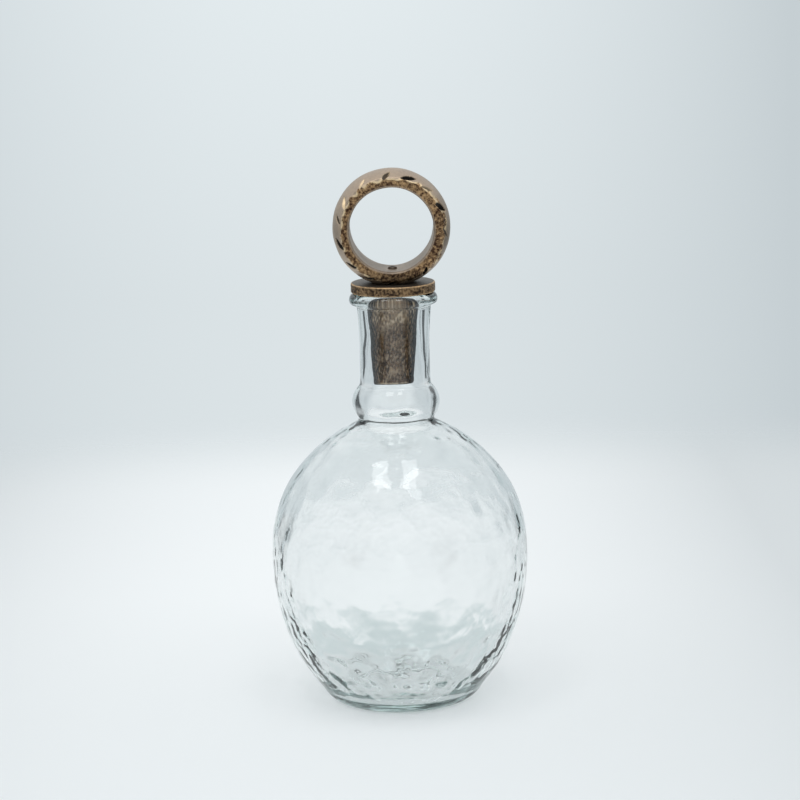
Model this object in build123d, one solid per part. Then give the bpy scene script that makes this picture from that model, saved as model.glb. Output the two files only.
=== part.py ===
from build123d import *
import math
import os

# A hand-blown glass decanter, closed by a cast metal stopper: a tapered plug, a disc that sits
# on the lip and an upright ring to pull it by, held together by one screw through the ring's
# floor. The glass is one piece, drawn as two that meet flat in the middle of its waist.
# The origin is the centre of the foot, on the table; +Z is up, and the ring's axis is Y.

# Glass body
body_radius = 70.0
body_wall = 4.0
girth_height = 80.0
shoulder_height = 74.1
shoulder_wall = 3.2
shoulder_rise_power = 2.35
shoulder_girth_power = 1.48
base_thickness = 7.5
floor_radius = 37.0
floor_round = 9.0
side_steps = 8

# Foot of the glass: a shallow hollow, the ring that it stands on and a rounded heel
foot_radius = 34.0
heel_radius = 44.5
heel_height = 7.0
heel_swell = 1.9
hollow_radius = 28.0
hollow_depth = 1.2

# Waist and bulge between the body and the neck
waist_bore = 17.4
waist_wall = 3.2
waist_height = 2.6
waist_round = 1.2
bulge_bore = 20.9
bulge_wall = 3.0
bulge_height = 17.5
bulge_round = 3.0

# Neck and lip
neck_length = 43.9
mouth_bore = 14.4
bore_flare = 0.9
neck_low_wall = 4.1
neck_mid_wall = 4.3
neck_top_wall = 5.8
lip_height = 6.4
lip_overhang = 3.6
lip_round = 3.4
lip_under_round = 1.8
lip_root_round = 0.8
mouth_round = 1.5

# Stopper: disc and plug
seat_gap = 0.2
disc_radius = 22.7
disc_thickness = 5.3
disc_edge_round = 0.8
plug_clearance = 0.5
plug_length = 48.5
plug_taper_degrees = 3.4
plug_tip_round = 1.0

# Stopper: ring, domed outside, with chisel notches across both rims of the dome
ring_bore = 22.4
ring_wall = 9.2
ring_width = 30.0
ring_flat_depth = 2.0
ring_crown = 3.8
ring_rim_round = 0.7
ring_bore_round = 1.5
notch_depth = 1.5
notch_length = 9.0
notch_inset = 3.0
notch_lean_degrees = 25.0
notch_skew_degrees = 38.0
notch_swing_share = 0.2
notch_degrees = (-4, 20, 43, 67, 95, 121, 143, 181, 206, 230, 256, 282, 301, 329)

# Screw: a button-headed one with a hexagon socket, from a spot face in the ring's floor
screw_radius = 1.5
screw_length = 30.0
head_radius = 2.4
head_height = 1.4
head_round = 0.9
spot_depth = 0.3
socket_across_flats = 1.8
socket_depth = 0.8
through_clearance = 0.2
thread_clearance = 0.05
tapped_hole_extra = 2.0

cut_overrun = 2.0

# Heights that follow from the sizes above
root_z = girth_height + shoulder_height
waist_middle_z = root_z + waist_height / 2
waist_top_z = root_z + waist_height
bulge_top_z = waist_top_z + bulge_height
neck_top_z = bulge_top_z + neck_length
lip_top_z = neck_top_z + lip_height
disc_bottom_z = lip_top_z + seat_gap
disc_top_z = disc_bottom_z + disc_thickness
ring_radius = ring_bore + ring_wall
ring_rim_radius = ring_radius - ring_crown
ring_centre_z = disc_top_z + ring_radius - ring_flat_depth
ring_floor_z = ring_centre_z - ring_bore
head_seat_z = ring_floor_z - spot_depth
head_top_z = head_seat_z + head_height
screw_tip_z = head_seat_z - screw_length


def half_height(reach, radius_there, radius, rise_power, girth_power):
    """Height of the half oval of this radius that has radius_there at reach from its girth."""
    return reach / (1 - (radius_there / radius) ** girth_power) ** (1 / rise_power)


def body_side(radius, reach, radius_there, rise_power=2, girth_power=2):
    """The oval's side from the girth to where it has radius_there, above it or below it.

    The oval is an ellipse where both powers are 2. A higher rise_power makes it fuller at the
    girth, and a lower girth_power draws it to a cone at its end. reach is negative below.
    """
    height = half_height(reach, radius_there, radius, rise_power, girth_power)
    last_turn = math.acos((radius_there / radius) ** (girth_power / 2))
    points = []
    for step in range(side_steps + 1):
        turn = last_turn * step / side_steps
        across = radius * math.cos(turn) ** (2 / girth_power)
        points.append((across, girth_height + height * math.sin(turn) ** (2 / rise_power)))
    inward = -radius / girth_power * math.cos(last_turn) ** (2 / girth_power - 1)
    upward = height / rise_power * math.sin(last_turn) ** (2 / rise_power - 1)
    end_direction = (inward * math.sin(last_turn), upward * math.cos(last_turn))
    return Spline(*points, tangents=[(0, math.copysign(1, reach)), end_direction])


def round_corner(face, radius_there, height_there, round_radius):
    """The flat face with the corner nearest that point rounded."""
    corner = face.vertices().sort_by_distance((radius_there, height_there, 0))[0]
    return fillet(corner, round_radius)


def turned(section):
    """The solid that a section, drawn with X as radius and Y as height, makes about the Z axis."""
    return revolve(Plane.XZ * section, Axis.Z)


def make_glass():
    """The vessel, turned from one closed section: up the outside, over the lip, down the inside."""
    neck_low_radius = mouth_bore + bore_flare + neck_low_wall
    neck_mid_radius = mouth_bore + bore_flare / 2 + neck_mid_wall
    neck_top_radius = mouth_bore + neck_top_wall
    lip_radius = neck_top_radius + lip_overhang
    waist_radius = waist_bore + waist_wall
    bore_low_radius = mouth_bore + bore_flare
    inner_radius = body_radius - body_wall
    inner_root_z = root_z - shoulder_wall
    bulge_mid_z = waist_top_z + bulge_height / 2

    shoulder_shape = (shoulder_rise_power, shoulder_girth_power)

    outside = [
        ThreePointArc(
            (0, hollow_depth),
            (hollow_radius / 2, hollow_depth * 3 / 4),
            (hollow_radius, 0),
        ),
        Line((hollow_radius, 0), (foot_radius, 0)),
        SagittaArc((foot_radius, 0), (heel_radius, heel_height), heel_swell),
        body_side(body_radius, heel_height - girth_height, heel_radius),
        body_side(body_radius, shoulder_height, waist_radius, *shoulder_shape),
        Line((waist_radius, root_z), (waist_radius, waist_top_z)),
        ThreePointArc(
            (waist_radius, waist_top_z),
            (bulge_bore + bulge_wall, bulge_mid_z),
            (neck_low_radius, bulge_top_z),
        ),
        ThreePointArc(
            (neck_low_radius, bulge_top_z),
            (neck_mid_radius, bulge_top_z + neck_length / 2),
            (neck_top_radius, neck_top_z),
        ),
        Polyline(
            (neck_top_radius, neck_top_z),
            (lip_radius, neck_top_z),
            (lip_radius, lip_top_z),
            (mouth_bore, lip_top_z),
        ),
    ]
    inside = [
        Line((mouth_bore, lip_top_z), (bore_low_radius, bulge_top_z)),
        ThreePointArc(
            (bore_low_radius, bulge_top_z),
            (bulge_bore, bulge_mid_z),
            (waist_bore, waist_top_z),
        ),
        Line((waist_bore, waist_top_z), (waist_bore, inner_root_z)),
        body_side(inner_radius, inner_root_z - girth_height, waist_bore, *shoulder_shape),
        body_side(inner_radius, base_thickness - girth_height, floor_radius),
        Polyline((floor_radius, base_thickness), (0, base_thickness), (0, hollow_depth)),
    ]
    section = make_face(Wire(Curve(outside + inside).edges()))
    for radius_there, height_there, round_radius in (
        (waist_radius, root_z, waist_round),
        (waist_radius, waist_top_z, waist_round),
        (neck_low_radius, bulge_top_z, bulge_round),
        (neck_top_radius, neck_top_z, lip_root_round),
        (lip_radius, neck_top_z, lip_under_round),
        (lip_radius, lip_top_z, lip_round),
        (mouth_bore, lip_top_z, mouth_round),
        (bore_low_radius, bulge_top_z, bulge_round),
        (waist_bore, waist_top_z, waist_round),
        (waist_bore, inner_root_z, waist_round),
        (floor_radius, base_thickness, floor_round),
    ):
        section = round_corner(section, radius_there, height_there, round_radius)
    return turned(section)


def make_glass_body(glass):
    """The glass up to the middle of its waist: foot, belly and shoulder."""
    return split(glass, bisect_by=Plane.XY.offset(waist_middle_z), keep=Keep.BOTTOM)


def make_glass_neck(glass):
    """The same glass from the middle of its waist: bulge, neck and lip."""
    return split(glass, bisect_by=Plane.XY.offset(waist_middle_z), keep=Keep.TOP)


def make_disc():
    """The disc that sits on the lip, with the screw's clearance hole."""
    hole_radius = screw_radius + through_clearance
    section = make_face(
        Polyline(
            (hole_radius, disc_bottom_z),
            (disc_radius, disc_bottom_z),
            (disc_radius, disc_top_z),
            (hole_radius, disc_top_z),
            close=True,
        )
    )
    for height_there in (disc_bottom_z, disc_top_z):
        section = round_corner(section, disc_radius, height_there, disc_edge_round)
    return turned(section)


def make_plug():
    """The tapered plug that hangs in the neck, with a blind tapped hole, drawn plain."""
    top_radius = mouth_bore - plug_clearance
    tip_radius = top_radius - plug_length * math.tan(math.radians(plug_taper_degrees))
    tip_z = disc_bottom_z - plug_length
    hole_radius = screw_radius + thread_clearance
    hole_bottom_z = screw_tip_z - tapped_hole_extra
    section = make_face(
        Polyline(
            (0, tip_z),
            (tip_radius, tip_z),
            (top_radius, disc_bottom_z),
            (hole_radius, disc_bottom_z),
            (hole_radius, hole_bottom_z),
            (0, hole_bottom_z),
            close=True,
        )
    )
    return turned(round_corner(section, tip_radius, tip_z, plug_tip_round))


def notch_cutter(turn_degrees, side, size):
    """One oblique V-shaped chisel cut from the rim onto the dome on that side of the ring.

    turn_degrees runs clockwise from the top of the ring as its front is seen, side is -1 for
    the front rim and 1 for the back one, and size scales the cut's depth.
    """
    turn = math.radians(turn_degrees)
    lean = math.radians(notch_lean_degrees)
    skew = math.radians(notch_skew_degrees)
    outward = Vector(math.sin(turn), 0, math.cos(turn))
    along = Vector(math.cos(turn), 0, -math.sin(turn))
    forward = Vector(0, side, 0)
    normal = outward * math.cos(lean) + forward * math.sin(lean)
    across = outward * math.sin(lean) - forward * math.cos(lean)
    rim = Vector(0, 0, ring_centre_z) + outward * ring_rim_radius + forward * ring_width / 2
    direction = across * math.cos(skew) + along * math.sin(skew)
    cut_depth = notch_depth * size
    edge_length = (cut_depth + cut_overrun) * math.sqrt(2)
    place = Plane(
        origin=rim + across * notch_inset + normal * cut_overrun,
        x_dir=direction,
        z_dir=normal,
    )
    return place * (Rot(X=45) * Box(notch_length, edge_length, edge_length))


def make_ring():
    """The upright ring, flat where it stands on the disc, bored and spot-faced for the screw."""
    half_width = ring_width / 2
    sides = Polyline(
        (ring_rim_radius, half_width),
        (ring_bore, half_width),
        (ring_bore, -half_width),
        (ring_rim_radius, -half_width),
    )
    dome = ThreePointArc(
        (ring_rim_radius, -half_width),
        (ring_radius, 0),
        (ring_rim_radius, half_width),
    )
    section = make_face(Wire(Curve([sides, dome]).edges()))
    for height_there in (-half_width, half_width):
        section = round_corner(section, ring_rim_radius, height_there, ring_rim_round)
        section = round_corner(section, ring_bore, height_there, ring_bore_round)
    ring = Pos(Z=ring_centre_z) * (Rot(X=90) * turned(section))

    half_pitch = 180 / len(notch_degrees)
    cutters = []
    for index, turn_degrees in enumerate(notch_degrees):
        size = 1 + notch_swing_share * math.sin(index * index)
        cutters.append(notch_cutter(turn_degrees, -1, size))
        cutters.append(notch_cutter(half_pitch - turn_degrees, 1, size))

    below = Box(2 * ring_radius, ring_width + cut_overrun, ring_radius)
    below = Pos(Z=disc_top_z - ring_radius / 2) * below
    return ring - cutters - below - screw_space()


def screw_section(hole_radius, top_radius, top_z, bottom_z):
    """The section of a headed screw, or of the room for one: a shank and a head on its seat."""
    return make_face(
        Polyline(
            (0, bottom_z),
            (hole_radius, bottom_z),
            (hole_radius, head_seat_z),
            (top_radius, head_seat_z),
            (top_radius, top_z),
            (0, top_z),
            close=True,
        )
    )


def screw_space():
    """What is cut from the ring's floor for the screw: a spot face and a clearance hole."""
    section = screw_section(
        screw_radius + through_clearance,
        head_radius + through_clearance,
        ring_floor_z + cut_overrun,
        disc_top_z - cut_overrun,
    )
    return turned(section)


def make_screw():
    """The button-headed screw, its thread drawn as a plain shank, with a hexagon socket."""
    section = screw_section(screw_radius, head_radius, head_top_z, screw_tip_z)
    screw = turned(round_corner(section, head_radius, head_top_z, head_round))
    hexagon = RegularPolygon(socket_across_flats / 2, 6, major_radius=False)
    socket = extrude(hexagon, socket_depth + cut_overrun)
    return screw - Pos(Z=head_top_z - socket_depth) * socket


def write_part(shape, name):
    """Write one piece to its own file."""
    shape.label = name
    export_step(shape, f"parts/{name}.step")


def main():
    """Make every piece and write it."""
    os.makedirs("parts", exist_ok=True)
    glass = make_glass()
    write_part(make_glass_body(glass), "glass_body")
    write_part(make_glass_neck(glass), "glass_neck")
    write_part(make_disc(), "stopper_disc")
    write_part(make_plug(), "stopper_plug")
    write_part(make_ring(), "stopper_ring")
    write_part(make_screw(), "ring_screw")


main()
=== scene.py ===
"""The looks of a hand-blown, hammered glass decanter with a cast, bronzed ring stopper."""

import logging
import math
from dataclasses import dataclass
from enum import Enum
from itertools import accumulate, product

import bmesh
import bpy
import numpy as np
from bpy.types import Material, Node, NodeSocket, NodeTree, Object
from mathutils import Euler, Matrix, Vector
from mathutils.kdtree import KDTree


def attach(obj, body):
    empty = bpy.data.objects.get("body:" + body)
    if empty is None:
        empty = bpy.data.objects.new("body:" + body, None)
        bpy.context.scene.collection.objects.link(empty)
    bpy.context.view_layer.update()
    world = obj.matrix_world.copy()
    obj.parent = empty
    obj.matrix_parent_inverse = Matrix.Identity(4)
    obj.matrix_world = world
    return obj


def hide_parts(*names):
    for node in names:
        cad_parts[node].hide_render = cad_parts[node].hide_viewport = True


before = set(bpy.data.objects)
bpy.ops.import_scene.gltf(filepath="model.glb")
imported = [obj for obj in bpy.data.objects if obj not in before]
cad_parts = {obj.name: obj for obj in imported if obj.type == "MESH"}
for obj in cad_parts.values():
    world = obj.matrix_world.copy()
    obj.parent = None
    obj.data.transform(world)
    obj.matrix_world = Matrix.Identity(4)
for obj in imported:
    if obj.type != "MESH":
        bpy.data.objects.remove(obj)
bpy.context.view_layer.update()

MM = 0.001
# Lengths under this are nothing, such as those between two points that meet
NOTHING = 1e-9
LOG = logging.getLogger("decanter")


class Body(Enum):
    """The two bodies that pieces ride on."""

    BOTTLE = "bottle"
    STOPPER = "stopper"


class Mark(Enum):
    """Point values that a mesh carries for its finish."""

    # Rub and glint: rubbed wear, and on the plug also painted glints and a painted highlight on its
    # tip. Patina and shade: patina, and on the ring also painted shade.
    RUB_AND_GLINT = "rub"
    CUT = "cut"
    RELIEF = "relief"


def linear(hex_colour: str) -> tuple[float, float, float, float]:
    """Turn an sRGB hex colour into Blender's linear colour.

    Args:
        hex_colour: six hex digits after a hash, such as "#8a6846".

    Returns:
        Linear red, green, blue and an alpha of 1.
    """
    channels = []
    for start in (1, 3, 5):
        value = int(hex_colour[start : start + 2], 16) / 255
        channels.append(value / 12.92 if value <= 0.04045 else ((value + 0.055) / 1.055) ** 2.4)
    return (*channels, 1.0)


# Curves in the radius-height plane


class Outline:
    """A profile in the radius-height plane, drawn on from point to point."""

    def __init__(self, start: tuple) -> None:
        """Start at a (radius, height)."""
        self.runs = [np.array([start], float)]

    @property
    def end(self) -> np.ndarray:
        """Where the outline has got to."""
        return self.runs[-1][-1]

    @property
    def points(self) -> np.ndarray:
        """The whole outline, one point a row."""
        return np.vstack(self.runs)

    def follow(self, points: np.ndarray) -> None:
        """Go on along the given points, one a row."""
        self.runs.append(points)

    def line(self, end: tuple, count: int = 12) -> None:
        """Go straight on.

        Args:
            end: the (radius, height) to reach.
            count: number of points on the way.
        """
        self.follow(np.linspace(self.end, end, count))

    def arc(self, middle: tuple, end: tuple, count: int = 24) -> None:
        """Go on along a circular arc.

        Args:
            middle: a point that the arc passes.
            end: the (radius, height) to reach.
            count: number of points on the way.
        """
        a, b, c = (complex(*point) for point in (self.end, middle, end))
        ratio = (c - a) / (b - a)
        centre = a - (a - b) * (ratio - abs(ratio) ** 2) / (2j * ratio.imag)
        sweep = np.angle((b - centre) / (a - centre)) + np.angle((c - centre) / (b - centre))
        points = centre + (a - centre) * np.exp(1j * np.linspace(0, sweep, count))
        self.follow(np.column_stack([points.real, points.imag]))

    def swell(self, end: tuple, swell: float) -> None:
        """Go on along the arc that stands off its chord to the right.

        Args:
            end: the (radius, height) to reach.
            swell: distance of the arc's middle from the chord's.
        """
        chord = (np.array(end) - self.end) / np.linalg.norm(end - self.end)
        self.arc((self.end + end) / 2 + swell * np.array([chord[1], -chord[0]]), end)

    def corner(self, sharp: tuple, end: tuple) -> None:
        """Go on along the quarter circle that rounds off a corner.

        Args:
            sharp: the corner that it cuts off.
            end: the (radius, height) to reach.
        """
        inward = self.end + end - 2 * np.array(sharp)
        self.arc(sharp + (1 - math.sqrt(0.5)) * inward, end)


def smoothed(profile: np.ndarray, step: float, softness: float) -> np.ndarray:
    """Even out a profile's spacing and round its corners, as fire polishing does.

    Args:
        profile: points in order, one a row.
        step: spacing of the points that come back.
        softness: how far along the profile a corner is spread.

    Returns:
        The rounded profile with its two ends in place.
    """
    fine = resampled(profile, np.full(len(profile), step))
    # A bell curve, cut off at three deviations
    reach = max(1, round(3 * softness / step))
    weights = np.exp(-0.5 * (np.arange(-reach, reach + 1) * step / softness) ** 2)
    weights /= weights.sum()
    before = 2 * fine[0] - fine[reach:0:-1]
    after = 2 * fine[-1] - fine[-2 : -reach - 2 : -1]
    padded = np.vstack([before, fine, after])
    return np.column_stack([np.convolve(padded[:, k], weights, "valid") for k in (0, 1)])


def resampled(profile: np.ndarray, steps: np.ndarray) -> np.ndarray:
    """Space a profile's points anew.

    Args:
        profile: points in order, one a row.
        steps: wanted spacing at each of them.

    Returns:
        Points on the same line, about that far apart.
    """
    lengths = np.hypot(*np.diff(profile, axis=0).T)
    kept = np.concatenate([[True], lengths > NOTHING])
    profile, steps = profile[kept], steps[kept]
    lengths = np.hypot(*np.diff(profile, axis=0).T)
    along = np.concatenate([[0], np.cumsum(lengths)])
    mean_steps = (steps[1:] + steps[:-1]) / 2
    counts = np.concatenate([[0], np.cumsum(lengths / mean_steps)])
    places = np.interp(np.linspace(0, counts[-1], round(counts[-1]) + 1), counts, along)
    return np.column_stack([np.interp(places, along, profile[:, k]) for k in (0, 1)])


@dataclass(frozen=True)
class Oval:
    """One half of the decanter's egg shape, from its girth up or down."""

    radius: float
    girth_height: float
    rise_power: float = 2.0
    girth_power: float = 2.0
    count: int = 90

    def side(self, end: tuple) -> np.ndarray:
        """Sample the oval from the girth to a point that it passes.

        Args:
            end: (radius, height) of that point.

        Returns:
            The points, one a row.
        """
        reach = end[1] - self.girth_height
        end_share = (end[0] / self.radius) ** self.girth_power
        height = reach / (1 - end_share) ** (1 / self.rise_power)
        turns = np.linspace(0, math.acos(math.sqrt(end_share)), self.count)
        radii = self.radius * np.cos(turns) ** (2 / self.girth_power)
        heights = self.girth_height + height * np.sin(turns) ** (2 / self.rise_power)
        return np.column_stack([radii, heights])


# Relief


class Ripple:
    """A smooth random field in space, made of plane waves with random directions.

    The shortest and longest waves are given as shares of the mean wavelength.
    """

    waves, shortest, longest = 40, 0.7, 1.5

    def __init__(self, wavelength: float, seed: int, stretch: tuple = (1, 1, 1)) -> None:
        """Draw the waves.

        Args:
            wavelength: mean distance from crest to crest.
            seed: seed of the draw.
            stretch: how much longer the waves are along X, Y and Z.
        """
        rng = np.random.default_rng(seed)
        directions = rng.normal(size=(self.waves, 3))
        directions /= np.linalg.norm(directions, axis=1)[:, None]
        lengths = wavelength * rng.uniform(self.shortest, self.longest, self.waves)
        self.vectors = 2 * math.pi * directions / lengths[:, None] / np.array(stretch)
        self.phases = rng.uniform(0, 2 * math.pi, self.waves)

    def at(self, points: np.ndarray) -> np.ndarray:
        """Give the field's value, of mean 0 and deviation 1, at each point."""
        waves = np.cos(points @ self.vectors.T + self.phases)
        return waves.sum(axis=1) * math.sqrt(2 / len(self.phases))


def ramp(values: np.ndarray, low: float, high: float) -> np.ndarray:
    """Rise smoothly from 0 at low to 1 at high."""
    share = np.clip((values - low) / (high - low), 0, 1)
    return share * share * (3 - 2 * share)


def band(values: np.ndarray, rise: tuple, fall: tuple) -> np.ndarray:
    """Rise smoothly from 0 to 1 over one range and fall back to 0 over another."""
    return ramp(values, *rise) * (1 - ramp(values, *fall))


@dataclass(frozen=True)
class HammerMarks:
    """Shallow dents side by side over a turned surface, as a beaten mould leaves them.

    The drifts say how far a dent strays from its cell's middle, in spacings.
    """

    spacing: float
    depth: float
    dent_radius: float
    seed: int
    neighbours: int = 5
    row_spacing: float = 0.87
    drift_round: float = 0.2
    drift_outward: float = 0.1
    drift_upward: float = 0.17
    shallowest: float = 0.55
    deepest: float = 1.3

    def centres(self, profile: np.ndarray) -> np.ndarray:
        """Scatter one dent centre to each cell of a loose brickwork.

        Args:
            profile: the surface's profile, evenly spaced.

        Returns:
            Centres in space, one a row.
        """
        rng = np.random.default_rng(self.seed)
        rows = resampled(profile, np.full(len(profile), self.spacing * self.row_spacing))
        found = []
        for radius, height in rows:
            count = max(3, round(2 * math.pi * radius / self.spacing))
            shift = rng.uniform(0, 1)
            turns = np.arange(count) + shift + rng.normal(0, self.drift_round, count)
            turns *= 2 * math.pi / count
            radii = radius + rng.normal(0, self.drift_outward, count) * self.spacing
            heights = height + rng.normal(0, self.drift_upward, count) * self.spacing
            found.append(np.column_stack([radii * np.cos(turns), radii * np.sin(turns), heights]))
        return np.vstack(found)

    def at(self, points: np.ndarray, profile: np.ndarray) -> np.ndarray:
        """Work out how deep the dents press each point in.

        Args:
            points: points of the surface, one a row.
            profile: the surface's profile.

        Returns:
            A depth of 0 or more for each.
        """
        centres = self.centres(profile)
        rng = np.random.default_rng(self.seed + 1)
        depths = self.depth * rng.uniform(self.shallowest, self.deepest, len(centres))
        tree = KDTree(len(centres))
        for index, centre in enumerate(centres):
            tree.insert(centre, index)
        tree.balance()
        pressed = np.empty(len(points))
        for place, point in enumerate(points):
            near = tree.find_n(point, self.neighbours)
            pressed[place] = max(
                depths[index] * (1 - (gap / self.dent_radius) ** 2) for _, index, gap in near
            )
        return np.maximum(pressed, 0)


# Meshes


def placed(name: str, data: bpy.types.ID) -> Object:
    """Put new mesh, lamp or camera data into the scene as an object."""
    thing = bpy.data.objects.new(name, data)
    bpy.context.scene.collection.objects.link(thing)
    return thing


def turned_grid(profile: np.ndarray, segments: int) -> tuple[np.ndarray, np.ndarray]:
    """Turn a profile that starts and ends on the Z axis about it.

    Args:
        profile: (radius, height) points, one a row.
        segments: number of steps round the axis.

    Returns:
        Points and outward normals, both as arrays of rows by segments by 3.
    """
    turns = np.arange(segments) * 2 * math.pi / segments
    radii = profile[:, :1].copy()
    radii[[0, -1]] = 0
    heights = np.repeat(profile[:, 1:], segments, axis=1)
    grid = np.stack([radii * np.cos(turns), radii * np.sin(turns), heights], axis=2)
    return grid, grid_normals(grid, closed_rows=False)


def grid_normals(grid: np.ndarray, closed_rows: bool) -> np.ndarray:
    """Give the outward unit normals of a grid that closes round its segments.

    Args:
        grid: rows by segments by 3.
        closed_rows: whether the last row meets the first.

    Returns:
        Normals in the grid's shape.
    """
    round_step = np.roll(grid, -1, axis=1) - np.roll(grid, 1, axis=1)
    if closed_rows:
        row_step = np.roll(grid, -1, axis=0) - np.roll(grid, 1, axis=0)
    else:
        row_step = np.gradient(grid, axis=0)
    normals = np.cross(round_step, row_step)
    lengths = np.linalg.norm(normals, axis=2, keepdims=True)
    # On the axis there is no step round it and so no normal, but nothing moves there either
    return normals / np.maximum(lengths, NOTHING**2)


def grid_object(
    name: str, grid: np.ndarray, closed_rows: bool, marks: dict[Mark, np.ndarray] | None = None
) -> Object:
    """Make a smooth closed mesh from a grid.

    Args:
        name: the piece's name.
        grid: rows by segments by 3. Open rows start and end on the axis.
        closed_rows: whether the last row meets the first.
        marks: values for the grid's points, by mark.

    Returns:
        The new object, linked to the scene.
    """
    # Each end row of an open grid is one point, which all its places stand for
    kept = np.ones(grid.shape[:2], bool)
    kept[[0, -1], 1:] = closed_rows
    index = (np.cumsum(kept) - 1).reshape(kept.shape)
    beside = np.roll(index, -1, axis=1)
    if closed_rows:
        above, above_beside = np.roll(index, -1, axis=0), np.roll(beside, -1, axis=0)
        faces = np.stack([index, beside, above_beside, above], axis=2).reshape(-1, 4).tolist()
    else:
        between = np.stack([index[1:-2], beside[1:-2], beside[2:-1], index[2:-1]], axis=2)
        low_fan = np.stack([index[0], beside[1], index[1]], axis=1)
        high_fan = np.stack([index[-1], index[-2], beside[-2]], axis=1)
        faces = between.reshape(-1, 4).tolist() + low_fan.tolist() + high_fan.tolist()
    mesh = bpy.data.meshes.new(name)
    mesh.from_pydata(grid[kept].tolist(), [], faces)
    mesh.shade_smooth()
    for mark, values in (marks or {}).items():
        layer = mesh.attributes.new(mark.value, "FLOAT", "POINT")
        layer.data.foreach_set("value", values.reshape(kept.shape)[kept].astype(np.float32))
    return placed(name, mesh)


def dress(piece: Object, material: Material, body: Body) -> None:
    """Give a piece its finish and the body that it rides on.

    Args:
        piece: the finished mesh object.
        material: its finish.
        body: what it moves with.
    """
    piece.data.materials.clear()
    piece.data.materials.append(material)
    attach(piece, body.value)


# Finishes


def add(tree: NodeTree, kind: str, links: dict | None = None, **settings: object) -> Node:
    """Add a node with its settings and what feeds it.

    Args:
        tree: the node tree.
        kind: the node's type, without the ShaderNode that all begin with.
        links: what feeds its inputs, by input name or number: a socket, a node, which stands for
            the first of its outputs in use, or a constant. Numbers 1 to 4 of a Map Range are
            From Min, From Max, To Min and To Max, and 6 and 7 of a Mix are its colours.
        settings: the node's own properties.

    Returns:
        The new node.
    """
    node = tree.nodes.new("ShaderNode" + kind)
    for name, value in settings.items():
        setattr(node, name, value)
    for key, value in (links or {}).items():
        if isinstance(value, Node):
            value = next(output for output in value.outputs if output.enabled)
        if isinstance(value, NodeSocket):
            tree.links.new(value, node.inputs[key])
        else:
            node.inputs[key].default_value = value
    return node


def new_material(name: str) -> tuple[Material, NodeTree]:
    """Start a material with an empty node tree.

    Args:
        name: the material's name.

    Returns:
        The material and its tree.
    """
    material = bpy.data.materials.new(name)
    material.use_nodes = True
    material.node_tree.nodes.clear()
    return material, material.node_tree


@dataclass(frozen=True)
class SodaGlass:
    """Clear soda-lime glass, blown into a beaten mould."""

    name: str = "soda_glass_blown_hammered"
    ior: float = 1.52
    roughness: float = 0.0
    depth_colour: str = "#b1d0cc"
    depth_density: float = 12.0
    ripple_size: float = 5 * MM
    ripple_height: float = 0.02 * MM

    def make(self) -> Material:
        """Build the material."""
        # Fire-polished glass gives sharp reflections, and its iron a blue-green where it is deep
        material, tree = new_material(self.name)
        place = add(tree, "TexCoord").outputs["Object"]
        # The faint unevenness of a hand-blown skin, which bends highlights a little
        ripple = {"Vector": place, "Scale": 1 / self.ripple_size, "Detail": 1.0}
        bump = {"Height": add(tree, "TexNoise", ripple), "Distance": self.ripple_height}
        surface = {
            "Base Color": (1.0, 1.0, 1.0, 1.0),
            "Roughness": self.roughness,
            "IOR": self.ior,
            "Transmission Weight": 1.0,
            "Normal": add(tree, "Bump", bump),
        }
        depth = {"Color": linear(self.depth_colour), "Density": self.depth_density}
        output = {
            "Surface": add(tree, "BsdfPrincipled", surface),
            "Volume": add(tree, "VolumeAbsorption", depth),
        }
        add(tree, "OutputMaterial", output)
        return material


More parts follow.
